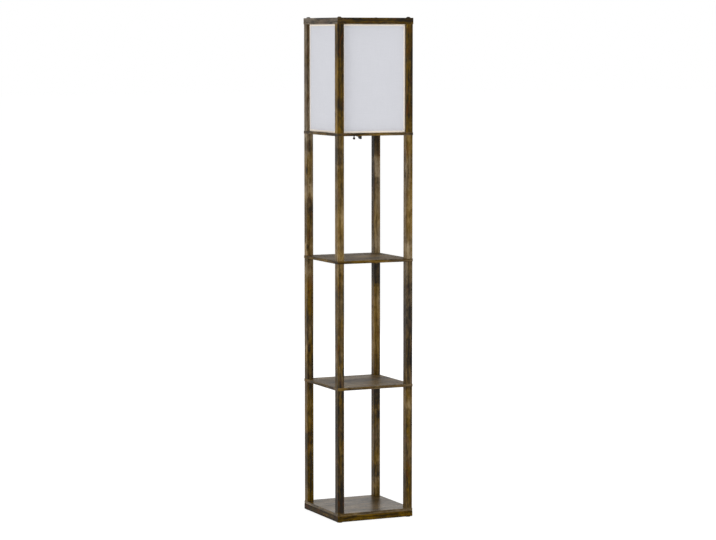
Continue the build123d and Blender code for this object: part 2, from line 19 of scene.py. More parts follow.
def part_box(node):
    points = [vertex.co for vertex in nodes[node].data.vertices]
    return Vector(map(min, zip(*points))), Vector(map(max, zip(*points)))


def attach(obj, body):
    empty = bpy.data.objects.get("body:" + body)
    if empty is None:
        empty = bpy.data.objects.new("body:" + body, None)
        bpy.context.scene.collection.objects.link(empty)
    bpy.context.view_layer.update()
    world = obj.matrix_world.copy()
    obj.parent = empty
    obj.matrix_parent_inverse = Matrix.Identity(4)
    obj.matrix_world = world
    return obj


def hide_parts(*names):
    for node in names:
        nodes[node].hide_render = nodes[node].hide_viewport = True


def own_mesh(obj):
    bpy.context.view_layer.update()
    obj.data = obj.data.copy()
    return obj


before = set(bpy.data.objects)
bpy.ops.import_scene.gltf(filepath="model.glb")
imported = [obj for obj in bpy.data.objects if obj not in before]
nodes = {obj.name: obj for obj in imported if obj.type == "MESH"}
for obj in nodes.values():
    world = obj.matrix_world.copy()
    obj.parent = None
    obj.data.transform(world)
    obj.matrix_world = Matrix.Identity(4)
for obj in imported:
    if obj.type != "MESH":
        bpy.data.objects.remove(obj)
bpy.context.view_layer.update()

MM = 0.001

# %% [markdown]
# ## The camera
#
# The photograph was taken from far away with a long lens, a little to the left of the front face and just
# below the height of the lamp's top. A long lens keeps the four posts nearly parallel. The place and the
# angles come from matching the corners of the boards, so that no lens shift is needed.

# %% Camera
CAMERA_PLACE = Vector((-3.3688, -7.2583, 1.5269))
CAMERA_YAW = 24.897
CAMERA_PITCH = 5.244
CAMERA_LENS = 125.46
CAMERA_SIGHT = 200


def placed(name, data):
    """A new object in the scene, which shows a mesh, a light or a camera."""
    made = bpy.data.objects.new(name, data)
    bpy.context.scene.collection.objects.link(made)
    return made


def aim_camera():
    """The camera looks from +Y towards +X by its yaw, and below the horizon by its pitch."""
    camera = placed("camera", bpy.data.cameras.new("camera"))
    camera.data.lens = CAMERA_LENS
    camera.data.clip_end = CAMERA_SIGHT
    camera.location = CAMERA_PLACE
    camera.rotation_euler = (math.radians(90 - CAMERA_PITCH), 0, math.radians(-CAMERA_YAW))
    bpy.context.scene.camera = camera


bpy.context.scene.view_settings.view_transform = "Standard"
aim_camera()
print("camera", round(CAMERA_PLACE.length, 2), "m from the lamp's foot")

# %% [markdown]
# ## Helpers for shader nodes
#
# A shader tree is long to write out. One helper makes a node, sets it, and fills its inputs with values or
# with other nodes' outputs, so that the lines below read like a recipe. The next ones wrap the nodes that
# are used most, and the last ones make groups and materials.

# %% Shader helpers


def node(tree, kind, inputs=None, **settings):
    """A new shader node with its settings, and with values or other nodes' outputs in its inputs."""
    made = tree.nodes.new("ShaderNode" + kind)
    for name, value in settings.items():
        setattr(made, name, value)
    for name, value in (inputs or {}).items():
        if isinstance(value, bpy.types.NodeSocket):
            tree.links.new(value, made.inputs[name])
        else:
            made.inputs[name].default_value = value
    return made


def maths(tree, operation, first, second=0.0, third=0.0):
    return node(tree, "Math", {0: first, 1: second, 2: third}, operation=operation).outputs[0]


def vector_maths(tree, operation, first, second=(0, 0, 0)):
    return node(tree, "VectorMath", {0: first, 1: second}, operation=operation).outputs[0]


def split(tree, vector):
    return node(tree, "SeparateXYZ", {0: vector}).outputs


def threshold(tree, value, low, high, bottom=0.0, top=1.0):
    """Rises smoothly from bottom to top while the value goes from low to high."""
    inputs = {"Value": value, "From Min": low, "From Max": high, "To Min": bottom, "To Max": top}
    return node(tree, "MapRange", inputs, interpolation_type="SMOOTHSTEP").outputs[0]


def mixed(tree, share, first, second, blend="MIX"):
    inputs = {0: share, 6: first, 7: second}
    return node(tree, "Mix", inputs, data_type="RGBA", blend_type=blend).outputs[2]


def paint(red, green, blue):
    """A paint chart's 0-255 colour as the linear colour that shaders use."""
    def linear(channel):
        share = channel / 255
        return share / 12.92 if share <= 0.04045 else ((share + 0.055) / 1.055) ** 2.4
    return (linear(red), linear(green), linear(blue), 1.0)


def noise(tree, place, seed, scale, detail=2.0, roughness=0.5, distortion=0.0):
    """Soft random values round a half, the same for the same seed."""
    inputs = {"Vector": place, "W": seed, "Scale": scale, "Detail": detail}
    inputs |= {"Roughness": roughness, "Distortion": distortion}
    return node(tree, "TexNoise", inputs, noise_dimensions="4D").outputs[0]


def group(name, inputs, outputs):
    """An empty shader node group with named sockets: its tree, what comes in, and what goes out."""
    tree = bpy.data.node_groups.new(name, "ShaderNodeTree")
    for socket, value in inputs.items():
        kind = "NodeSocketVector" if isinstance(value, tuple) else "NodeSocketFloat"
        tree.interface.new_socket(socket, in_out="INPUT", socket_type=kind).default_value = value
    for socket in outputs:
        kind = "NodeSocketColor" if socket == "Color" else "NodeSocketFloat"
        tree.interface.new_socket(socket, in_out="OUTPUT", socket_type=kind)
    return tree, tree.nodes.new("NodeGroupInput").outputs, tree.nodes.new("NodeGroupOutput").inputs


def answer(tree, out, **results):
    """Links each result to the group's output of that name, and hands the finished group back."""
    for socket, result in results.items():
        tree.links.new(result, out[socket])
    return tree


def use(tree, shared, inputs):
    """Places a shared node group in a material, with that material's own values."""
    return node(tree, "Group", inputs, node_tree=shared).outputs


def material(name, **constants):
    """A new material: its tree, and its Principled shader with the constant values set on its sockets."""
    made = bpy.data.materials.new(name)
    made.use_nodes = True
    shader = made.node_tree.nodes["Principled BSDF"]
    for socket, value in constants.items():
        shader.inputs[socket.replace("_", " ").title().replace("Ior", "IOR")].default_value = value
    return made, made.node_tree, shader.inputs


def connect(tree, inputs, colour, roughness, height, depth):
    """Links a shader's colour, roughness and relief, which rises by depth where the height map is 1."""
    raised = node(tree, "Bump", {"Height": height, "Distance": depth}).outputs[0]
    for value, socket in ((colour, "Base Color"), (roughness, "Roughness"), (raised, "Normal")):
        tree.links.new(value, inputs[socket])


def object_place(tree):
    return node(tree, "TexCoord").outputs["Object"]


# %% [markdown]
# ## Studio
#
# The photograph is a cut-out on white. A floor that is simply lit would come out grey, and lit up to white
# it would wash out the lamp. So the camera sees a steady white glow with a small lit share on top, which is
# what a shadow takes away, and the lamp gets the light of a plain pale floor. The world does the same: white
# to look at, softer as a light.

# %% Floor and world
FLOOR_SIZE = 120.0
FLOOR_GLOW = 0.87
FLOOR_LIT_SHARE = 0.30
FLOOR_PALE = 0.80
WORLD_LEVEL = 0.45


def seen_directly(tree):
    """1 for rays from the camera and for reflections and refractions, 0 for the light that objects get."""
    path = node(tree, "LightPath").outputs
    either = maths(tree, "MAXIMUM", path["Is Camera Ray"], path["Is Glossy Ray"])
    return maths(tree, "MAXIMUM", either, path["Is Transmission Ray"])


def lay_floor():
    bm = bmesh.new()
    bmesh.ops.create_grid(bm, x_segments=1, y_segments=1, size=FLOOR_SIZE / 2)
    mesh = bpy.data.meshes.new("floor")
    bm.to_mesh(mesh)
    bm.free()
    floor = placed("floor", mesh)
    made = bpy.data.materials.new("pale floor")
    made.use_nodes = True
    tree = made.node_tree
    tree.nodes.remove(tree.nodes["Principled BSDF"])
    pale = node(tree, "BsdfDiffuse", {"Color": (FLOOR_PALE,) * 3 + (1,)}).outputs[0]
    lit = node(tree, "BsdfDiffuse", {"Color": (FLOOR_LIT_SHARE,) * 3 + (1,)}).outputs[0]
    glow = node(tree, "Emission", {"Strength": FLOOR_GLOW}).outputs[0]
    white = node(tree, "AddShader", {0: lit, 1: glow}).outputs[0]
    either = node(tree, "MixShader", {0: seen_directly(tree), 1: pale, 2: white}).outputs[0]
    tree.links.new(either, tree.nodes["Material Output"].inputs["Surface"])
    mesh.materials.append(made)


def set_world():
    world = bpy.data.worlds.new("studio")
    world.use_nodes = True
    tree = world.node_tree
    soft = tree.nodes["Background"]
    soft.inputs["Color"].default_value = (1, 1, 1, 1)
    soft.inputs["Strength"].default_value = WORLD_LEVEL
    white = node(tree, "Background", {"Color": (1, 1, 1, 1), "Strength": 1.0}).outputs[0]
    choice = {0: seen_directly(tree), 1: soft.outputs[0], 2: white}
    either = node(tree, "MixShader", choice).outputs[0]
    tree.links.new(either, tree.nodes["World Output"].inputs["Surface"])
    bpy.context.scene.world = world


lay_floor()
set_world()

# %% [markdown]
# Three large soft boxes give the posts and boards their shape: one in front, one far out on the left, and a
# weaker one behind. They are big and distant, so that shadows stay soft and no face burns out.

# %% Soft boxes
LAMP_MIDDLE = Vector((0, 0, 0.85))
SOFT_BOX_SIZE = 2.4


def soft_box(name, place, watts):
    light = bpy.data.lights.new(name, "AREA")
    light.shape = "SQUARE"
    light.size = SOFT_BOX_SIZE
    light.energy = watts
    box = placed(name, light)
    box.location = place
    box.rotation_euler = (LAMP_MIDDLE - Vector(place)).to_track_quat("-Z", "Y").to_euler()
    box.visible_glossy = False


soft_box("main_soft_box", (1.0, -4.9, 1.6), 96)
soft_box("side_soft_box", (-4.8, -1.2, 1.5), 120)
soft_box("back_soft_box", (1.8, 4.6, 2.2), 75)

# %% [markdown]
# ## The wood print
#
# Boards and posts are wrapped in printed paper: a dark rustic oak with golden-brown ground, near-black
# burns, reddish-brown spots and fine lines along the grain. Printed paper has no depth, so nearly everything
# is colour, and only a shallow emboss catches the light.
#
# One shared group draws the print on solid coordinates with the grain along Z. Four layers of noise give the
# tone: wide clouds, patches of a few centimetres, a fine mottle, and lines pulled out along the grain. Saw
# marks stripe it, and pores, knots and growth rings darken it. Three more layers tint the colour with moss
# and rust and make it greyer or more vivid. Solid noise runs round an arris as a wrapped paper does.

# %% Rustic print group
NIGHT = paint(26, 20, 12)
DARK = paint(53, 40, 13)
BROWN = paint(80, 60, 18)
GOLD = paint(105, 83, 41)
STRAW = paint(136, 113, 72)
CHALK = paint(160, 139, 100)
RUST = paint(88, 53, 24)
MOSS = paint(72, 66, 34)
TONE_STOPS = ((0.26, NIGHT), (0.39, DARK), (0.50, BROWN), (0.62, GOLD), (0.80, STRAW), (1.02, CHALK))
GRAIN_STRETCH = (1, 1, 0.36)
LINE_STRETCH = (1, 1, 0.03)
PORE_STRETCH = (1, 1, 0.05)
RING_STRETCH = (1, 1, 0.16)
SAW_STRETCH = (0.12, 0.12, 1)
LAYER_SEED_STEP = 11.3


def tone_to_colour(tree, tone):
    ramp = node(tree, "ValToRGB", {"Fac": tone})
    elements = ramp.color_ramp.elements
    elements.remove(elements[1])
    for at, colour in TONE_STOPS:
        elements.new(at).color = colour
    elements.remove(elements[0])
    return ramp.outputs[0]


def knots(tree, drawn, seed):
    """Dark hearts with a few rings round them: how much they darken the tone at each point."""
    shifted = vector_maths(tree, "ADD", drawn, seed)
    away = node(tree, "TexVoronoi", {"Vector": shifted, "Scale": 22}).outputs["Distance"]
    heart = threshold(tree, away, 0.04, 0.17, 0.30, 0)
    rings = maths(tree, "MULTIPLY", maths(tree, "SINE", maths(tree, "MULTIPLY", away, 95)), 0.05)
    return maths(tree, "MULTIPLY_ADD", rings, threshold(tree, away, 0.12, 0.36, 1, 0), heart)


def growth_rings(tree, place, seed):
    """Dark wavering lines round the heart of the log: how much they darken the tone."""
    wavered = vector_maths(tree, "MULTIPLY", vector_maths(tree, "ADD", place, seed), RING_STRETCH)
    inputs = {"Vector": wavered, "Scale": 34, "Distortion": 5.5, "Detail": 3.0, "Detail Scale": 1.3}
    rings = node(tree, "TexWave", inputs, rings_direction="Z", wave_type="RINGS").outputs["Fac"]
    return threshold(tree, rings, 0.50, 0.98, -0.02, 0.10)


def rustic_print():
    inputs = {"Place": (0, 0, 0), "Seed": 0.0, "Shift": 0.0, "Rust": 1.0, "Vivid": 1.0}
    tree, given, out = group("rustic_print", inputs, ("Color", "Tone", "Lines"))
    place = given["Place"]
    stretches = (GRAIN_STRETCH, LINE_STRETCH, PORE_STRETCH, SAW_STRETCH)
    drawn, pulled, pored, sawn = (vector_maths(tree, "MULTIPLY", place, each) for each in stretches)

    def layer(number, where, scale, detail=2.0, roughness=0.5, distortion=0.0):
        seed = maths(tree, "ADD", given["Seed"], LAYER_SEED_STEP * number)
        return noise(tree, where, seed, scale, detail, roughness, distortion)

    lines = layer(3, pulled, 1100, 2.5, 0.6)
    layers = (
        (layer(0, drawn, 16, 2, 0.5, 0.4), 0.56),
        (layer(1, drawn, 48, 4, 0.62, 0.9), 0.66),
        (layer(2, drawn, 230, 3, 0.6, 0.3), 0.46),
        (lines, 0.26),
    )
    tone = given["Shift"]
    for drawn_layer, weight in layers:
        tone = maths(tree, "MULTIPLY_ADD", drawn_layer, weight, tone)
    balance = sum(weight for drawn_layer, weight in layers) / 2 - 0.515
    saw_marks = maths(tree, "SUBTRACT", layer(4, sawn, 620, 1), 0.5)
    sawn_here = threshold(tree, layer(5, drawn, 26), 0.50, 0.66, 0, 0.22)
    saw_marks = maths(tree, "MULTIPLY", saw_marks, sawn_here)
    pores = threshold(tree, layer(6, pored, 640, 3, 0.6, 0.5), 0.58, 0.64, balance, balance + 0.13)
    tone = maths(tree, "SUBTRACT", maths(tree, "ADD", tone, saw_marks), pores)
    tone = maths(tree, "SUBTRACT", tone, knots(tree, drawn, given["Seed"]))
    tone = maths(tree, "SUBTRACT", tone, growth_rings(tree, place, given["Seed"]))

    moss = threshold(tree, layer(7, drawn, 34), 0.52, 0.72, 0, 0.6)
    rust = threshold(tree, layer(8, drawn, 62, 2, 0.5, 0.5), 0.54, 0.72, 0, 0.5)
    ash = threshold(tree, layer(9, drawn, 28, 3), 0.38, 0.64, 1.10, 0.80)
    colour = mixed(tree, moss, tone_to_colour(tree, tone), MOSS, "SOFT_LIGHT")
    colour = mixed(tree, maths(tree, "MULTIPLY", rust, given["Rust"]), colour, RUST)
    greyed = {"Saturation": maths(tree, "MULTIPLY", ash, given["Vivid"]), "Color": colour}
    colour = node(tree, "HueSaturation", greyed).outputs[0]
    return answer(tree, out, Color=colour, Tone=tone, Lines=lines)


RUSTIC_PRINT = rustic_print()
print("print group holds", len(RUSTIC_PRINT.nodes), "nodes")

# %% [markdown]
# Each length of post is cut from a different place of the paper roll, so each gets its own seed. The print
# has a few large burns and pale stretches that the eye finds at once, such as the black stretch of the left
# post under the shade. A second group places one such patch at a height, with ragged ends.
#
# The third group finds the arrises of a square piece. A point's distance to the three pairs of faces is
# sorted, and the middle one is how near the point is to an arris. There the paper is stretched over the
# corner, and it rubs a little paler.

# %% Patch and arris groups


def placed_patch():
    inputs = {"Place": (0, 0, 0), "Middle": 0.0, "Reach": 0.03, "Seed": 0.0}
    tree, given, out = group("placed_patch", inputs, ("Mask",))
    height = split(tree, given["Place"])["Z"]
    away = maths(tree, "ABSOLUTE", maths(tree, "SUBTRACT", height, given["Middle"]))
    ragged = maths(tree, "SUBTRACT", noise(tree, given["Place"], given["Seed"], 75, 3), 0.5)
    away = maths(tree, "MULTIPLY_ADD", ragged, 0.05, away)
    start = maths(tree, "MULTIPLY", given["Reach"], 0.65)
    stop = maths(tree, "MULTIPLY_ADD", given["Reach"], 1.15, 0.004)
    return answer(tree, out, Mask=threshold(tree, away, start, stop, 1, 0))


def arris():
    inputs = {"Place": (0, 0, 0), "Middle": (0, 0, 0), "Half size": (1, 1, 1), "Width": 0.001}
    tree, given, out = group("arris", inputs, ("Mask",))
    away = vector_maths(tree, "ABSOLUTE", vector_maths(tree, "SUBTRACT", given["Place"], given["Middle"]))
    depth = split(tree, vector_maths(tree, "SUBTRACT", given["Half size"], away))
    least = maths(tree, "MINIMUM", depth["X"], depth["Y"])
    most = maths(tree, "MAXIMUM", depth["X"], depth["Y"])
    middle = maths(tree, "MAXIMUM", least, maths(tree, "MINIMUM", most, depth["Z"]))
    return answer(tree, out, Mask=threshold(tree, middle, 0, given["Width"], 1, 0))


PLACED_PATCH = placed_patch()
ARRIS = arris()

# %% [markdown]
# The wood's material puts the groups together. The grain's axis is turned onto Z by swapping coordinates.
# On a board the two ends along the grain carry a strip of edging whose grain runs along the edge, so the
# axis is chosen by the face's direction. The varnish is satin, and a little duller where the tone is dark.

# %% Wood material
RUBBED = paint(118, 96, 62)
POST_ROUGHNESS = 0.46
WOOD_SPECULAR = 0.15
EMBOSS = 0.05 * MM
ARRIS_WIDTH = 1.1 * MM
SEAM_WIDTH = 1.3 * MM


def grain_along(tree, place, axis):
    """Object coordinates with the grain's axis turned onto Z."""
    parts = split(tree, place)
    order = {"X": "ZYX", "Y": "XZY", "Z": "XYZ"}[axis]
    inputs = {number: parts[letter] for number, letter in enumerate(order)}
    return node(tree, "CombineXYZ", inputs).outputs[0]


def finish_node(name, made):
    """Gives a carried-over node its material, in every slot that its mesh has."""
    for each in nodes[name].material_slots:
        each.material = made


def wood(name, seed, axis, edging=False, patches=(), shift=0.0, rust=1.0, vivid=1.0,
         dull=POST_ROUGHNESS, specular=WOOD_SPECULAR, seam=None, left_face=0.0):
    """Prints one wooden node, with the grain along an axis of the lamp."""
    low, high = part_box(name)
    made, tree, inputs = material(f"print on {name}", specular_ior_level=specular)
    coordinates = node(tree, "TexCoord").outputs
    place = coordinates["Object"]
    facing = split(tree, coordinates["Normal"])
    grain = grain_along(tree, place, axis)
    if edging:
        on_end = maths(tree, "GREATER_THAN", maths(tree, "ABSOLUTE", facing[axis]), 0.6)
        choice = {0: on_end, 4: grain, 5: grain_along(tree, place, "Y")}
        grain = node(tree, "Mix", choice, data_type="VECTOR").outputs[1]
    tone_shift = shift
    for number, (middle, reach, amount) in enumerate(patches):
        values = {"Place": place, "Middle": middle * MM, "Reach": reach * MM, "Seed": seed + number}
        mask = use(tree, PLACED_PATCH, values)["Mask"]
        tone_shift = maths(tree, "MULTIPLY_ADD", mask, amount, tone_shift)
    # A left face may get its own tone shift: on the shade tier's front left post it is a painted sheen.
    if left_face:
        on_left = threshold(tree, facing["X"], -0.9, -0.5, left_face, 0)
        tone_shift = maths(tree, "ADD", on_left, tone_shift)
    values = {"Place": grain, "Seed": seed, "Shift": tone_shift, "Rust": rust, "Vivid": vivid}
    drawn = use(tree, RUSTIC_PRINT, values)
    half = (high - low) / 2
    values = {"Place": place, "Middle": low + half, "Half size": half, "Width": ARRIS_WIDTH}
    worn = use(tree, ARRIS, values)["Mask"]
    rubbed = maths(tree, "MULTIPLY", worn, threshold(tree, drawn["Tone"], 0.3, 0.8, 0.10, 0.45))
    colour = mixed(tree, rubbed, drawn["Color"], RUBBED)
    # Upright faces at the seam level are painted near-black: partly the paper's raw edge at the joint,
    # partly painted shade in the joint's gap.
    if seam is not None:
        away = maths(tree, "ABSOLUTE", maths(tree, "SUBTRACT", split(tree, place)["Z"], seam))
        upright = maths(tree, "LESS_THAN", maths(tree, "ABSOLUTE", facing["Z"]), 0.5)
        near = threshold(tree, away, 0.5 * SEAM_WIDTH, SEAM_WIDTH, 0.9, 0)
        colour = mixed(tree, maths(tree, "MULTIPLY", near, upright), colour, NIGHT)
    roughness = threshold(tree, drawn["Tone"], 0.2, 0.8, dull + 0.07, dull - 0.05)
    connect(tree, inputs, colour, roughness, drawn["Lines"], EMBOSS)
    finish_node(name, made)


# %% [markdown]
# ## The posts
#
# Sixteen posts stand in four tiers. The photograph shows each one's print, and its largest burns and pale
# stretches are placed here as (middle height, reach, lighter or darker), in millimetres from the floor. The
# posts also differ in overall tone and in how vivid their colour is, which is given for the four corners of
# each tier. Two of them have a left face of another tone: darker on one, and on the other a painted sheen.

# %% Posts
TIERS = ("lower", "middle", "upper", "shade")
CORNERS = ("front_left", "front_right", "back_left", "back_right")
PATCHES = {
    "lower_post_front_left": [(58, 30, -0.18), (318, 60, -0.09)],
    "lower_post_front_right": [(385, 30, 0.16), (290, 22, -0.05), (122, 32, -0.12)],
    "lower_post_back_left": [(237, 15, -0.12), (362, 32, 0.09)],
    "lower_post_back_right": [(368, 45, -0.20), (115, 25, -0.09), (75, 20, 0.10)],
    "middle_post_front_left": [(690, 50, -0.10), (790, 40, 0.08), (455, 30, -0.06), (616, 20, -0.07)],
    "middle_post_front_right": [(800, 18, 0.10), (720, 42, -0.10), (532, 50, -0.06), (638, 50, -0.12)],
    "middle_post_back_left": [(792, 20, 0.20), (695, 60, 0.10), (465, 65, -0.12), (566, 22, -0.09),
                              (526, 14, 0.12)],
    "middle_post_back_right": [(770, 36, -0.22), (590, 90, 0.07), (435, 18, -0.12), (678, 16, 0.09)],
    "upper_post_front_left": [(910, 90, 0.13), (1090, 45, -0.09), (1164, 24, -0.12)],
    "upper_post_front_right": [(850, 36, 0.15)],
    "upper_post_back_left": [(950, 60, -0.16), (1043, 22, 0.20), (842, 30, 0.18), (1190, 18, -0.11)],
    "upper_post_back_right": [(1190, 38, -0.30), (1098, 22, 0.09), (882, 30, 0.08), (1074, 14, -0.11)],
    "shade_post_front_left": [(1525, 55, -0.14), (1262, 32, 0.12), (1330, 16, -0.10)],
    "shade_post_front_right": [(1520, 60, -0.07)],
    "shade_post_back_left": [(1280, 60, 0.06), (1376, 16, 0.10)],
}
# Left-face tone shifts: darker on the upper back right post, and a painted sheen on the shade front left
# post.
LEFT_FACE = {"upper_post_back_right": -0.30, "shade_post_front_left": 0.14}
POST_TONES = {
    "lower": (-0.07, 0.00, 0.02, -0.02),
    "middle": (0.01, -0.03, 0.02, 0.03),
    "upper": (0.04, 0.14, 0.15, 0.18),
    "shade": (-0.08, -0.05, 0.03, -0.03),
}
POST_VIVID = {
    "lower": (1.12, 1.14, 1.02, 1.00),
    "middle": (1.06, 0.82, 1.12, 0.98),
    "upper": (0.94, 0.96, 0.92, 0.90),
    "shade": (1.32, 1.20, 0.80, 1.00),
}
POST_SEED_STEP = 5.7

for tier_number, tier in enumerate(TIERS):
    for corner_number, corner in enumerate(CORNERS):
        post_name = f"{tier}_post_{corner}"
        post_seed = POST_SEED_STEP * (len(CORNERS) * tier_number + corner_number + 1)
        wood(post_name, post_seed, "Z", patches=PATCHES.get(post_name, ()),
             shift=POST_TONES[tier][corner_number], vivid=POST_VIVID[tier][corner_number],
             left_face=LEFT_FACE.get(post_name, 0.0))
print(len(TIERS) * len(CORNERS), "posts printed")

# %% [markdown]
# ## Boards and rails
#
# The base is a board on a mitred rim, which is why a thin line runs round it a third of the way down: the
# paper's raw edge at the joint, with painted shade in the joint's gap. The rims' grain runs along each rail
# and meets at 45 degrees. Boards lie with their grain from left to right. The base's rim is the most golden
# part, and the left rails are toned apart as (lighter or darker, vivid): the left rim darker, and the left
# top rail greyed as a painted sheen.

# %% Boards and rails
BOARD_SEED = 101.0
BOARD_SEED_STEP = 3.1
BOARD_DULL = {"base_board": 0.31, "lower_shelf": 0.47, "upper_shelf": 0.57, "lamp_plate": 0.50}
RAIL_SEED = {"base": 140.98, "top": 140.94}
RAIL_SEED_STEP = 1 / 7
RAIL_TONE = {"base": (0.02, 1.60), "top": (-0.06, 1.00)}
# The left top rail's low vividness greys it as a painted sheen; the left rim is only darker.
LEFT_RAIL_TONE = {"base_rail_left": (-0.20, 2.00), "top_rail_left": (0.01, 0.60)}
RAIL_SPECULAR = {"base": 0.08, "top": WOOD_SPECULAR}
SIDES = {"front": 0, "right": 90, "back": 180, "left": 270}
SEAM_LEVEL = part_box("base_board")[0].z

for board_number, (board_name, board_dull) in enumerate(BOARD_DULL.items()):
    wood(board_name, BOARD_SEED + BOARD_SEED_STEP * board_number, "X", edging=True, rust=0.6,
         dull=board_dull, seam=SEAM_LEVEL if board_name == "base_board" else None)
for rim, rim_seed in RAIL_SEED.items():
    for side, angle in SIDES.items():
        rail_name = f"{rim}_rail_{side}"
        rail_shift, rail_vivid = LEFT_RAIL_TONE.get(rail_name, RAIL_TONE[rim])
        wood(rail_name, rim_seed + RAIL_SEED_STEP * angle, "X" if side in ("front", "back") else "Y",
             shift=rail_shift, rust=0.8, vivid=rail_vivid, specular=RAIL_SPECULAR[rim],
             seam=SEAM_LEVEL if rim == "base" else None)
print(len(BOARD_DULL), "boards and", len(RAIL_SEED) * len(SIDES), "rails printed")

# %% [markdown]
# ## Helpers for new pieces
#
# A bmesh is a mesh on the workbench: operators shape it, and then it is written into an object. Most small
# parts of a lamp are turned on a lathe, so the first helpers spin an outline round the upright axis. Others
# round the sharp edges as tooling does, write the piece out on its body, or move and copy it.

# %% Modelling helpers
WELD = 0.001 * MM
SHARP_ANGLE = 35


def facing_out(bm):
    bmesh.ops.recalc_face_normals(bm, faces=bm.faces)
    return bm


def spun(outline, steps, turns=1, climb=0.0, closed=False):
    """(radius, level) points, joined and spun round the upright axis, higher by climb at each step."""
    bm = bmesh.new()
    points = [bm.verts.new((radius, 0, level)) for radius, level in outline]
    edges = [bm.edges.new(pair) for pair in zip(points, points[1:])]
    if closed:
        edges.append(bm.edges.new((points[-1], points[0])))
    bmesh.ops.spin(bm, geom=points + edges, cent=(0, 0, 0), axis=(0, 0, 1), dvec=(0, 0, climb),
                   angle=math.tau * turns, steps=steps * turns, use_merge=not climb)
    bmesh.ops.remove_doubles(bm, verts=bm.verts, dist=WELD)
    return bm


def turned(outline, steps, closed=False):
    """A shape turned on a lathe from (radius, level) points."""
    return facing_out(spun(outline, steps, closed=closed))


def soften(bm, width, segments=2):
    """Rounds every sharp edge."""
    limit = math.radians(SHARP_ANGLE)
    sharp = [edge for edge in bm.edges if edge.is_manifold and edge.calc_face_angle() > limit]
    bmesh.ops.bevel(bm, geom=sharp, offset=width, offset_type="OFFSET", affect="EDGES",
                    segments=segments, profile=0.5, material=-1, clamp_overlap=True)
    return bm


def closed_ends(bm):
    bmesh.ops.holes_fill(bm, edges=[edge for edge in bm.edges if edge.is_boundary], sides=0)
    return facing_out(bm)


def piece(name, bm, finish, body, slot, *replaced):
    """Writes a bmesh out as a finished object that rides on a body and stands for the replaced nodes."""
    mesh = bpy.data.meshes.new(name)
    bm.to_mesh(mesh)
    bm.free()
    mesh.shade_smooth()
    mesh.set_sharp_from_angle(angle=math.radians(SHARP_ANGLE))
    mesh.materials.append(finish)
    made = placed(name, mesh)
    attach(made, body)
    if replaced:
        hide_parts(*replaced)
    print(name, len(mesh.polygons), "faces")
    return made


def everything(bm):
    return bm.verts[:] + bm.edges[:] + bm.faces[:]


def verts_of(parts):
    return [part for part in parts if isinstance(part, bmesh.types.BMVert)]


def moved(bm, offset, verts=None):
    bmesh.ops.translate(bm, vec=offset, verts=bm.verts if verts is None else verts)
    return bm


def rotated(bm, degrees, axis):
    turn = Matrix.Rotation(math.radians(degrees), 3, axis)
    bmesh.ops.rotate(bm, verts=bm.verts, cent=(0, 0, 0), matrix=turn)
    return bm


def copied_to(bm, offsets):
    """Copies the whole bmesh to each offset, in place of the original."""
    first = everything(bm)
    for offset in offsets[1:]:
        moved(bm, offset, verts_of(bmesh.ops.duplicate(bm, geom=first)["geom"]))
    return moved(bm, offsets[0], verts_of(first))


def corners_at(distance):
    """The four places that lie this far from the lamp's axis both ways."""
    return [Vector((x, y, 0)) for x in (distance, -distance) for y in (distance, -distance)]


def arc(middle_level, radius, start, stop, count):
    """(radius, level) points on an arc about the axis, by angle above the horizon in degrees."""
    angles = [math.radians(start + (stop - start) * number / count) for number in range(count + 1)]
    return [(radius * math.cos(angle), middle_level + radius * math.sin(angle)) for angle in angles]


# %% [markdown]
# ## The shade's cloth
#
# Each side of the shade is a laminate: a plain-woven off-white cloth glued on a thin white plastic sheet
# that keeps it flat, with a narrow cream tape round its edge. The panel slides into grooves in the posts,
# the plate and the top frame, so its outline has a small notch at each corner.
#
# The sheet starts as one face, planes cut the notches out, and more planes divide it, so that it can bow by
# a fraction of a millimetre as laminates do. A live Solidify gives each layer its thickness.

# %% Weave group
WEAVE = "weave"


def plain_weave():
    inputs = {"Place": (0, 0, 0), "Threads per metre": 1500.0, "Seed": 0.0}
    tree, given, out = group("plain_weave", inputs, ("Height", "Slub", "Gap"))
    place = given["Place"]
    half_turns = maths(tree, "MULTIPLY", given["Threads per metre"], math.pi)
    angles = [maths(tree, "MULTIPLY", split(tree, place)[axis], half_turns) for axis in "XY"]
    warp, weft = (maths(tree, "SINE", angle) for angle in angles)
    on_top = threshold(tree, maths(tree, "MULTIPLY", warp, weft), -0.12, 0.12)
    shown = ((warp, on_top), (weft, maths(tree, "SUBTRACT", 1, on_top)))
    heights = [maths(tree, "MULTIPLY", maths(tree, "ABSOLUTE", each), share) for each, share in shown]
    height = maths(tree, "MAXIMUM", *heights)
    slubs = []
    for stretch, seed_step in (((1, 0.03, 1), 0.0), ((0.03, 1, 1), 9.1)):
        seed = maths(tree, "ADD", given["Seed"], seed_step)
        slubs.append(noise(tree, vector_maths(tree, "MULTIPLY", place, stretch), seed, 520, 3))
    slub = maths(tree, "MULTIPLY", maths(tree, "ADD", *slubs), 0.5)
    return answer(tree, out, Height=height, Slub=slub, Gap=threshold(tree, height, 0.05, 0.4, 1, 0))


PLAIN_WEAVE = plain_weave()

# %% Cloth, backing and tape materials
CLOTH_PALE = paint(216, 217, 223)
CLOTH_SHADE = paint(212, 213, 219)
CLOTH_GAP_SHADE = paint(196, 197, 204)
# The tape's cream is made pale enough to stay light where posts and rails shade the recessed panel's edge:
# partly its own colour, partly painted light.
TAPE_CREAM = paint(252, 242, 228)
TAPE_SHADE = paint(246, 234, 218)
BACKING_WHITE = paint(245, 245, 246)
BACKING_SHADE = paint(238, 238, 240)
THREADS = 1500
TAPE_THREADS = 2400
THREAD_DEPTH = 0.06 * MM
BACKING_RIPPLE = 0.01 * MM


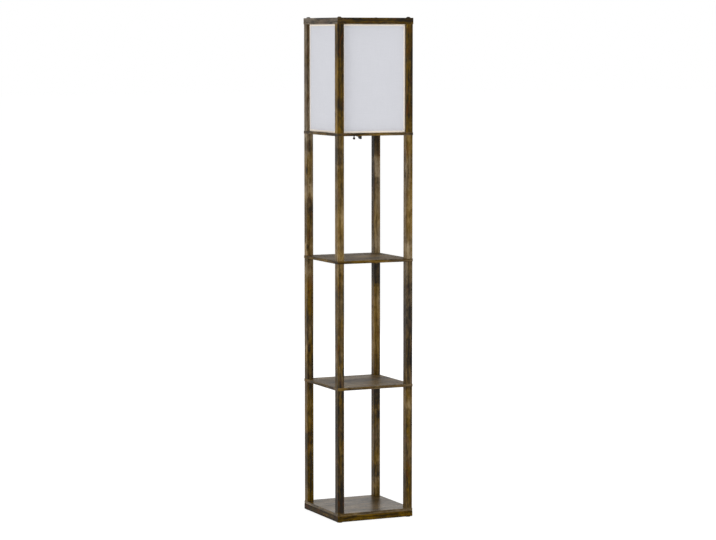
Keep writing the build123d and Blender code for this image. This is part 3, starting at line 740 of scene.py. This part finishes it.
def woven(name, pale, shade, gap, threads, seed):
    made, tree, inputs = material(name, specular_ior_level=0.2)
    place = node(tree, "UVMap", uv_map=WEAVE).outputs[0]
    drawn = use(tree, PLAIN_WEAVE, {"Place": place, "Threads per metre": threads, "Seed": seed})
    colour = mixed(tree, threshold(tree, drawn["Slub"], 0.35, 0.65), shade, pale)
    # The gaps between threads are painted darker: painted shade in the weave's hollows.
    colour = mixed(tree, maths(tree, "MULTIPLY", drawn["Gap"], 0.5), colour, gap)
    roughness = threshold(tree, drawn["Slub"], 0.3, 0.7, 0.92, 0.78)
    connect(tree, inputs, colour, roughness, drawn["Height"], THREAD_DEPTH)
    return made


CLOTH = woven("shade cloth", CLOTH_PALE, CLOTH_SHADE, CLOTH_GAP_SHADE, THREADS, 3.0)
TAPE = woven("edge tape", TAPE_CREAM, TAPE_SHADE, TAPE_SHADE, TAPE_THREADS, 8.0)


def backing_material():
    made, tree, inputs = material("plastic backing", specular_ior_level=0.4)
    place = object_place(tree)
    haze = noise(tree, place, 2.0, 30, 3)
    colour = mixed(tree, threshold(tree, haze, 0.3, 0.7), BACKING_SHADE, BACKING_WHITE)
    roughness = threshold(tree, haze, 0.3, 0.7, 0.38, 0.30)
    connect(tree, inputs, colour, roughness, noise(tree, place, 5.0, 240, 2), BACKING_RIPPLE)
    return made


BACKING = backing_material()

# %% Cut one sheet with notched corners
SHEET_STEP = 12 * MM
BOW = 0.5 * MM
CLOTH_THICK = 0.4 * MM
BACKING_THICK = 0.75 * MM
TAPE_THICK = 0.25 * MM
TAPE_SHOWING = 5.5 * MM
TAPE_TUCKED = 2.0 * MM
NOTCH_GAP = 0.5 * MM
panel_low, panel_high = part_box("shade_panel_front")
post_low, post_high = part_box("shade_post_front_left")
plate_low, plate_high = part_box("lamp_plate")
rail_low, rail_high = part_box("top_rail_front")
OPENING_HALF = -post_high.x
OPENING_LOW, OPENING_HIGH = plate_high.z, rail_low.z
NOTCH_X = OPENING_HALF - NOTCH_GAP
NOTCH_LOW, NOTCH_HIGH = OPENING_LOW + NOTCH_GAP, OPENING_HIGH - NOTCH_GAP


def upright_face(half_width, low, high, depth):
    """A bmesh of one upright face that looks along -Y."""
    bm = bmesh.new()
    bmesh.ops.create_grid(bm, x_segments=1, y_segments=1, size=0.5)
    rotated(bm, 90, "X")
    bmesh.ops.scale(bm, vec=(2 * half_width, 1, high - low), verts=bm.verts)
    return moved(bm, (0, depth, (low + high) / 2))


def cut(bm, point, normal, **settings):
    bmesh.ops.bisect_plane(bm, geom=everything(bm), dist=WELD, plane_co=point, plane_no=normal, **settings)


def notched_sheet(depth):
    """The panel's outline with its corners cut out, divided into small faces and bowed."""
    bm = upright_face(panel_high.x, panel_low.z, panel_high.z, depth)
    for x in (-NOTCH_X, NOTCH_X):
        cut(bm, (x, 0, 0), (1, 0, 0))
    for z in (NOTCH_LOW, NOTCH_HIGH):
        cut(bm, (0, 0, z), (0, 0, 1))
    middle = [(face, face.calc_center_median()) for face in bm.faces]
    corners = [face for face, at in middle if abs(at.x) > NOTCH_X and not NOTCH_LOW < at.z < NOTCH_HIGH]
    bmesh.ops.delete(bm, geom=corners, context="FACES")
    columns = int(2 * NOTCH_X / SHEET_STEP)
    rows = int((NOTCH_HIGH - NOTCH_LOW) / SHEET_STEP)
    for number in range(1, columns):
        cut(bm, (-NOTCH_X + 2 * NOTCH_X * number / columns, 0, 0), (1, 0, 0))
    for number in range(1, rows):
        cut(bm, (0, 0, NOTCH_LOW + (NOTCH_HIGH - NOTCH_LOW) * number / rows), (0, 0, 1))
    middle_level = (OPENING_LOW + OPENING_HIGH) / 2
    for vert in bm.verts:
        across = max(0.0, 1 - (vert.co.x / OPENING_HALF) ** 2)
        upward = max(0.0, 1 - ((vert.co.z - middle_level) / (middle_level - OPENING_LOW)) ** 2)
        vert.co.y -= BOW * across * upward
    return bm


def lay_threads(bm):
    """Writes the sheet's own flat coordinates, in metres, as its UV map."""
    layer = bm.loops.layers.uv.new(WEAVE)
    for face in bm.faces:
        for corner in face.loops:
            corner[layer].uv = (corner.vert.co.x, corner.vert.co.z)


def tape_frame(depth):
    """A narrow flat frame along the shade's opening, tucked a little into the grooves."""
    low, high = OPENING_LOW - TAPE_TUCKED, OPENING_HIGH + TAPE_TUCKED
    bm = upright_face(OPENING_HALF + TAPE_TUCKED, low, high, depth)
    bmesh.ops.inset_region(bm, faces=bm.faces[:], thickness=TAPE_TUCKED + TAPE_SHOWING,
                           use_boundary=True, use_even_offset=True)
    inner = max(bm.faces, key=lambda face: face.calc_area())
    bmesh.ops.delete(bm, geom=[inner], context="FACES")
    return bm


def thick(made, thickness, outwards=1):
    """A live Solidify, which grows along the faces' normals, or against them with outwards at -1."""
    solid = made.modifiers.new("thickness", "SOLIDIFY")
    solid.thickness = thickness
    solid.offset = outwards


cloth_face = panel_low.y + CLOTH_THICK
for side in SIDES:
    for layer_name, finish, depth, thickness, build in (
        ("cloth", CLOTH, cloth_face, CLOTH_THICK, notched_sheet),
        ("backing", BACKING, cloth_face + BACKING_THICK, BACKING_THICK, notched_sheet),
        ("tape", TAPE, panel_low.y, TAPE_THICK, tape_frame),
    ):
        bm = build(depth)
        lay_threads(bm)
        rotated(bm, SIDES[side], "Z")
        stands_for = [f"shade_panel_{side}"] if layer_name == "cloth" else ()
        layer_piece = piece(f"shade_{layer_name}_{side}", bm, finish, "tower", "shade_fabric", *stands_for)
        thick(layer_piece, thickness)

# %% [markdown]
# ## Finishes of the small parts
#
# Metal, moulded plastic, porcelain and felt differ in colour and gloss, but their small-scale surface is
# alike: soft patches, a fine grain, and some thin scratches. One shared group draws those three, and each
# finish uses them at its own scale and strength.

# %% Surface grain group


def surface_grain():
    inputs = {"Place": (0, 0, 0), "Seed": 0.0, "Patch scale": 120.0, "Grain scale": 2500.0}
    tree, given, out = group("surface_grain", inputs, ("Patches", "Grain", "Scratches"))
    place, seed, grain_scale = given["Place"], given["Seed"], given["Grain scale"]
    patches = noise(tree, place, seed, given["Patch scale"], 3)
    grain = noise(tree, place, maths(tree, "ADD", seed, 4.4), grain_scale, 2)
    pulled = vector_maths(tree, "MULTIPLY", place, (1, 0.08, 0.3))
    drawn_out = noise(tree, pulled, maths(tree, "ADD", seed, 8.8), grain_scale, 2, 0.5, 0.8)
    return answer(tree, out, Patches=threshold(tree, patches, 0.32, 0.68), Grain=grain,
                  Scratches=threshold(tree, drawn_out, 0.60, 0.66))


SURFACE_GRAIN = surface_grain()
FINE = 0.01 * MM
MOULDED = 0.02 * MM
GLAZE = 0.03 * MM
FIBRES = 0.12 * MM


def surface(name, seed, first, second, dull, bright, depth=FINE, scales=(120, 2500), scratched=0.0,
            **constants):
    """A finish that wanders between two colours, and between a dull and a bright roughness."""
    made, tree, inputs = material(name, **constants)
    values = {"Place": object_place(tree), "Seed": seed, "Patch scale": scales[0], "Grain scale": scales[1]}
    drawn = use(tree, SURFACE_GRAIN, values)
    colour = mixed(tree, drawn["Patches"], paint(*first), paint(*second))
    roughness = threshold(tree, drawn["Patches"], 0, 1, bright, dull)
    if scratched:
        roughness = maths(tree, "MULTIPLY_ADD", drawn["Scratches"], scratched, roughness)
    connect(tree, inputs, colour, roughness, drawn["Grain"], depth)
    return made


PLATED = {"scratched": 0.15, "metallic": 1.0}
AGED = {"scratched": 0.12, "metallic": 0.9}
BRONZE = surface("dark bronze", 2, (62, 50, 40), (44, 36, 30), 0.46, 0.30, **AGED)
ZINC = surface("zinc-plated steel", 3, (176, 176, 172), (150, 151, 150), 0.42, 0.26, **PLATED)
BRASS = surface("brass", 4, (204, 170, 96), (176, 142, 78), 0.38, 0.22, **PLATED)
# The holder's nipple and nut hang under the lamp plate; their brass is painted dark there as painted shade.
BRASS_IN_PAINTED_SHADE = surface("brass in painted shade", 12, (92, 72, 44), (62, 49, 32), 0.52, 0.36, **AGED)
NICKEL = surface("nickel cap", 5, (196, 194, 188), (170, 168, 163), 0.30, 0.18, scratched=0.10,
                 metallic=1.0)
PHENOLIC = surface("black moulded plastic", 6, (30, 29, 28), (22, 21, 21), 0.45, 0.32, MOULDED, (90, 1800))
PORCELAIN = surface("glazed porcelain", 7, (236, 233, 224), (228, 224, 213), 0.22, 0.12, GLAZE, (60, 300),
                    coat_weight=0.6)
SLEEVE = surface("wire sleeve", 8, (36, 35, 35), (28, 27, 27), 0.55, 0.42)
COLLAR_PLASTIC = surface("bulb collar plastic", 9, (233, 232, 229), (226, 225, 221), 0.40, 0.30,
                         scales=(70, 1500))
FROSTED = surface("frosted bulb", 10, (238, 238, 235), (232, 232, 230), 0.36, 0.28, scales=(40, 1800),
                  coat_weight=0.2)
FELT = surface("felt", 11, (52, 44, 38), (38, 33, 29), 0.98, 0.90, FIBRES, (500, 3200), sheen_weight=0.3)

KEPT_FINISHES = {
    ZINC: ("base_bolts", "lower_studs", "middle_studs", "upper_studs", "nipple_washer", "lever_pin"),
    BRASS: ("post_inserts", "centre_contact", "switch_contacts", "switch_lever"),
    BRASS_IN_PAINTED_SHADE: ("holder_nipple", "nipple_nut"),
    PHENOLIC: ("holder_cap", "cord_gland"),
    BRONZE: ("chain_guide",),
    PORCELAIN: ("holder_insulator",),
    SLEEVE: ("lead_wires",),
}
for kept_finish, kept_names in KEPT_FINISHES.items():
    for kept_name in kept_names:
        finish_node(kept_name, kept_finish)
print(sum(len(names) for names in KEPT_FINISHES.values()), "small nodes keep their shape")

# %% [markdown]
# ## Domed bolts
#
# Four low domed bolts hold the top frame down on the posts. Each has a hexagon socket for its key. The dome
# and its shank are turned; then a six-sided loop is bridged to the round land, pulled down and closed.

# %% Domed bolts
cap_low, cap_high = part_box("top_cap_bolts")
frame_top = rail_high.z
POST_CENTRE = (post_high.x + post_low.x) / 2
DOME_RADIUS = cap_high.x + POST_CENTRE
DOME_HEIGHT = cap_high.z - frame_top
SHANK_RADIUS = 2.9 * MM
LAND_RADIUS = 3.1 * MM
SOCKET_RADIUS = 2.3 * MM
SOCKET_DEPTH = 2.2 * MM
DOME_RIM = 0.5 * MM
BOLT_ROUND = 0.15 * MM
DOME_STEPS = 36


def ring_edges(bm, level, radius):
    """The edges whose two ends lie on a circle about the axis at a level."""
    def on_ring(vert):
        return abs(vert.co.z - level) < WELD and abs(vert.co.xy.length - radius) < WELD
    return [edge for edge in bm.edges if all(on_ring(vert) for vert in edge.verts)]


def domed_bolt():
    sphere = (DOME_RADIUS ** 2 + DOME_HEIGHT ** 2) / (2 * DOME_HEIGHT)
    middle = frame_top + DOME_HEIGHT - sphere
    rim_angle = math.degrees(math.asin((frame_top + DOME_RIM - middle) / sphere))
    land_angle = math.degrees(math.acos(LAND_RADIUS / sphere))
    dome = arc(middle, sphere, rim_angle, land_angle, 9)
    land_level = dome[-1][1]
    shank = [(0, cap_low.z), (SHANK_RADIUS, cap_low.z), (SHANK_RADIUS, frame_top), (dome[0][0], frame_top)]
    bm = turned(shank + dome, DOME_STEPS)
    hexagon = bmesh.ops.create_circle(bm, cap_ends=False, radius=SOCKET_RADIUS, segments=6)["verts"]
    moved(bm, (0, 0, land_level), hexagon)
    inner = list({edge for vert in hexagon for edge in vert.link_edges})
    bmesh.ops.bridge_loops(bm, edges=ring_edges(bm, land_level, LAND_RADIUS) + inner)
    pulled = bmesh.ops.extrude_edge_only(bm, edges=inner)["geom"]
    moved(bm, (0, 0, -SOCKET_DEPTH), verts_of(pulled))
    return soften(closed_ends(bm), BOLT_ROUND)


bolts = copied_to(domed_bolt(), corners_at(POST_CENTRE))
piece("domed_bolts", bolts, BRONZE, "tower", "dark_bronze", "top_cap_bolts")

# %% [markdown]
# ## Felt pads
#
# A round felt pad under each corner keeps the base off the floor. Felt is pressed wool, so its edge is soft.

# %% Felt pads
PAD_RADIUS = 9 * MM
PAD_ROUND = 0.5 * MM
pads_low, pads_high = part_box("foot_pads")
pad_low, pad_high, pad_flat = pads_low.z, pads_high.z, PAD_RADIUS - PAD_ROUND
pad_outline = [(0, pad_low), (pad_flat, pad_low), (PAD_RADIUS, pad_low + PAD_ROUND),
               (PAD_RADIUS, pad_high - PAD_ROUND), (pad_flat, pad_high), (0, pad_high)]
pads = copied_to(turned(pad_outline, 32), corners_at(pads_high.x - PAD_RADIUS))
piece("felt_pads", pads, FELT, "tower", "felt", "foot_pads")

# %% [markdown]
# ## The bulb
#
# A frosted globe bulb stands in the holder. Its glass is blown and thin, so it is turned as a shell with an
# inside. A smooth plastic collar widens from the screw cap to the glass, and the cap is a rolled thread.
#
# A thread is the outline of a single turn spun upwards: each step also climbs, and after a full turn the
# outline's foot meets the top of the turn below. Two planes then cut it level.

# %% Bulb glass and collar
globe_low, globe_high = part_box("bulb_globe")
collar_low, collar_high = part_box("bulb_collar")
bulb_cap_low, bulb_cap_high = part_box("bulb_cap")
GLASS_THICK = 1.0 * MM
COLLAR_THICK = 1.6 * MM
COLLAR_ROUND = 0.3 * MM


def bulb_glass():
    radius = globe_high.x
    middle = globe_high.z - radius
    mouth = math.degrees(math.asin((globe_low.z - middle) / radius))
    inside = arc(middle, radius - GLASS_THICK, 90, mouth, 20)
    inside[-1] = (inside[-1][0], globe_low.z)
    return turned(inside + arc(middle, radius, mouth, 90, 22), 64)


def bulb_collar():
    """An S-shaped wall between the cap's radius and the mouth of the glass."""
    steps = 16
    outside = []
    for number in range(steps + 1):
        share = number / steps
        swell = share * share * (3 - 2 * share)
        radius = bulb_cap_high.x + (collar_high.x - bulb_cap_high.x) * (0.35 * share + 0.65 * swell)
        outside.append((radius, collar_low.z + (collar_high.z - collar_low.z) * share))
    inside = [(radius - COLLAR_THICK, level) for radius, level in reversed(outside)]
    return soften(turned(outside + inside, 64, closed=True), COLLAR_ROUND)


piece("bulb_glass", bulb_glass(), FROSTED, "tower", "frosted_glass", "bulb_globe")
piece("bulb_neck", bulb_collar(), COLLAR_PLASTIC, "tower", "bulb_collar_plastic", "bulb_collar")

# %% Threads
THREAD_PITCH = 3.6 * MM
THREAD_POINTS = 8
THREAD_STEPS = 40
CAP_THREAD = 0.45 * MM
SHELL_THREAD = 0.25 * MM
SHELL_METAL = 0.3 * MM


def thread(radius, height, low, high):
    """A rolled thread about the axis, cut level at both ends."""
    start = low - THREAD_PITCH
    outline = []
    for number in range(THREAD_POINTS + 1):
        share = number / THREAD_POINTS
        outline.append((radius + height * math.cos(math.tau * share), start + THREAD_PITCH * share))
    turns = math.ceil((high - start) / THREAD_PITCH) + 1
    bm = spun(outline, THREAD_STEPS, turns, THREAD_PITCH / THREAD_STEPS)
    for level, upward in ((low, -1), (high, 1)):
        cut(bm, (0, 0, level), (0, 0, upward), clear_outer=True)
    return bm


cap_thread = thread(bulb_cap_high.x - CAP_THREAD, CAP_THREAD, bulb_cap_low.z, bulb_cap_high.z)
piece("bulb_screw_cap", closed_ends(cap_thread), NICKEL, "tower", "bulb_metal", "bulb_cap")
socket_low, socket_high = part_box("screw_shell")
shell_thread = thread(socket_high.x - SHELL_THREAD, SHELL_THREAD, socket_low.z, socket_high.z)
threaded_shell = piece("threaded_shell", facing_out(shell_thread), BRASS, "tower", "brass", "screw_shell")
thick(threaded_shell, SHELL_METAL, outwards=-1)

# %% [markdown]
# Under the cap a cone of black glass carries the tip that meets the holder's sprung tongue.

# %% Bulb tip
tip_low, tip_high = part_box("bulb_contact")
TIP_RADIUS = 4.8 * MM
TIP_HEIGHT = 2 * MM
tip_level = tip_low.z + TIP_HEIGHT
tip_outline = [(0, tip_low.z), (TIP_RADIUS * 0.6, tip_low.z + 0.2 * MM), (TIP_RADIUS, tip_low.z + 1.2 * MM),
               (TIP_RADIUS, tip_level), (0, tip_level)]
glass_outline = [(0, tip_level), (TIP_RADIUS + 0.6 * MM, tip_level), (tip_high.x, tip_high.z - 0.5 * MM),
                 (tip_high.x, tip_high.z), (0, tip_high.z)]
piece("bulb_tip", turned(tip_outline, 32), NICKEL, "tower", "bulb_metal", "bulb_contact")
piece("bulb_black_glass", turned(glass_outline, 32), PHENOLIC, "tower", "black_plastic")

# %% [markdown]
# ## The holder's sleeve
#
# The sleeve round the porcelain is black like the cup, with a foot flange, a rolled rib near the mouth, and
# a rounded lip.

# %% Sleeve
sleeve_low, sleeve_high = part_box("holder_shell")
SLEEVE_WALL = 1.9 * MM
SLEEVE_INNER = 17.2 * MM
SLEEVE_FOOT = 20.0 * MM
SLEEVE_ROUND = 0.5 * MM
RIB_POINTS = 8


def holder_sleeve():
    outer = SLEEVE_INNER + SLEEVE_WALL
    low, high = sleeve_low.z, sleeve_high.z
    rib_low = high - 6 * SLEEVE_WALL
    outline = [(SLEEVE_INNER, low), (SLEEVE_FOOT, low), (SLEEVE_FOOT, low + SLEEVE_WALL)]
    outline += [(outer + 0.2 * MM, low + 2.6 * SLEEVE_WALL), (outer, low + 3.4 * SLEEVE_WALL)]
    for number in range(RIB_POINTS + 1):
        share = number / RIB_POINTS
        swell = SLEEVE_WALL / 2 * math.sin(math.pi * share)
        outline.append((outer + swell, rib_low + 2 * SLEEVE_WALL * share))
    outline += [(outer, high), (SLEEVE_INNER, high)]
    return soften(turned(outline, 64, closed=True), SLEEVE_ROUND, 3)


piece("holder_sleeve", holder_sleeve(), PHENOLIC, "tower", "black_plastic", "holder_shell")

# %% [markdown]
# ## Return spring
#
# Inside the cup, a coil spring round the chain lifts the switch's fork again. It is a disc of wire spun
# upwards, one small climb at each step. On the real switch the lever comes down on it and flattens it
# towards the cup's floor.

# %% Return spring
spring_low, spring_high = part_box("return_spring")
SPRING_WIRE = 0.4 * MM
SPRING_TURNS = 4
SPRING_STEPS = 28


def coiled_spring():
    radius = (spring_high.x - spring_low.x) / 2 - SPRING_WIRE
    climb = spring_high.z - spring_low.z - 2 * SPRING_WIRE
    steps = SPRING_TURNS * SPRING_STEPS
    bm = bmesh.new()
    bmesh.ops.create_circle(bm, cap_ends=True, radius=SPRING_WIRE, segments=10)
    moved(rotated(bm, 90, "X"), (radius, 0, spring_low.z + SPRING_WIRE))
    bmesh.ops.spin(bm, geom=everything(bm), cent=(0, 0, 0), axis=(0, 0, 1), dvec=(0, 0, climb / steps),
                   angle=math.tau * SPRING_TURNS, steps=steps, use_merge=False)
    middle = (spring_low + spring_high) / 2
    return moved(facing_out(bm), (middle.x, middle.y, 0))


spring = piece("coiled_spring", coiled_spring(), ZINC, "tower", "zinc_steel", "return_spring")
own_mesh(spring)

# %% [markdown]
# ## Bead chain and pull knob
#
# The switch is pulled by a bead chain: hollow beads rolled from sheet, joined by short dumb-bell links. The
# seam where each bead closes is a shallow groove round it. A small turned knob hangs from the last bead.

# %% Bead chain
chain_low, chain_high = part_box("pull_chain")
CHAIN_PLACE = Vector(((chain_low.x + chain_high.x) / 2, (chain_low.y + chain_high.y) / 2, 0))
BEAD_RADIUS = chain_high.x - CHAIN_PLACE.x
BEAD_PITCH = 4.0 * MM
BEAD_COUNT = 7
BEAD_SEAM = 4
BEAD_POLE = 82
BEAD_DIMPLE = 0.15 * MM
LINK_RADIUS = 0.5 * MM
chain_end = chain_low.z + BEAD_RADIUS
chain_top = chain_high.z - BEAD_RADIUS


def bead():
    """One bead: a ball whose belly has a narrow seam, with a dimple at each pole round the link."""
    outline = arc(0, BEAD_RADIUS, -BEAD_POLE, -BEAD_SEAM, 8) + [(BEAD_RADIUS * 0.965, 0)]
    outline += arc(0, BEAD_RADIUS, BEAD_SEAM, BEAD_POLE, 8)
    outline = [(0, outline[0][1] + BEAD_DIMPLE)] + outline + [(0, outline[-1][1] - BEAD_DIMPLE)]
    return turned(outline, 20)


def bead_chain():
    levels = [chain_end + BEAD_PITCH * number for number in range(BEAD_COUNT)] + [chain_top]
    bm = copied_to(bead(), [Vector((0, 0, level)) for level in levels])
    wire = bmesh.ops.create_cone(bm, cap_ends=True, segments=10, radius1=LINK_RADIUS, radius2=LINK_RADIUS,
                                 depth=chain_top - chain_end)["verts"]
    moved(bm, (0, 0, (chain_top + chain_end) / 2), wire)
    return moved(bm, CHAIN_PLACE)


piece("bead_chain", bead_chain(), BRONZE, "chain", "dark_bronze", "pull_chain")

# %% Pull knob
BALL_RADIUS = 4.0 * MM
BALL_DROP = 8.2 * MM
CUP_OUTER = 2.6 * MM
CUP_INNER = 1.9 * MM
NECK_RADIUS = 1.6 * MM
NECK_FILLET = 0.35 * MM
BALL_SHOULDER = 58
CUP_RIM = 25
CUP_FOOT = -48
ball_level = chain_end - BALL_DROP


def knob_outline():
    """Ball, neck and the cup that grips the last bead, from the bottom up and back down inside the cup."""
    ball = arc(ball_level, BALL_RADIUS, -90, BALL_SHOULDER, 16)
    neck = [(NECK_RADIUS, ball[-1][1] + NECK_FILLET)]
    outside = arc(chain_end, CUP_OUTER, CUP_FOOT, CUP_RIM, 8)
    inside = arc(chain_end, CUP_INNER, CUP_RIM, -90, 10)
    return ball + neck + outside + inside


knob = moved(turned(knob_outline(), 36), CHAIN_PLACE)
piece("turned_knob", knob, BRONZE, "knob", "dark_bronze", "pull_knob")
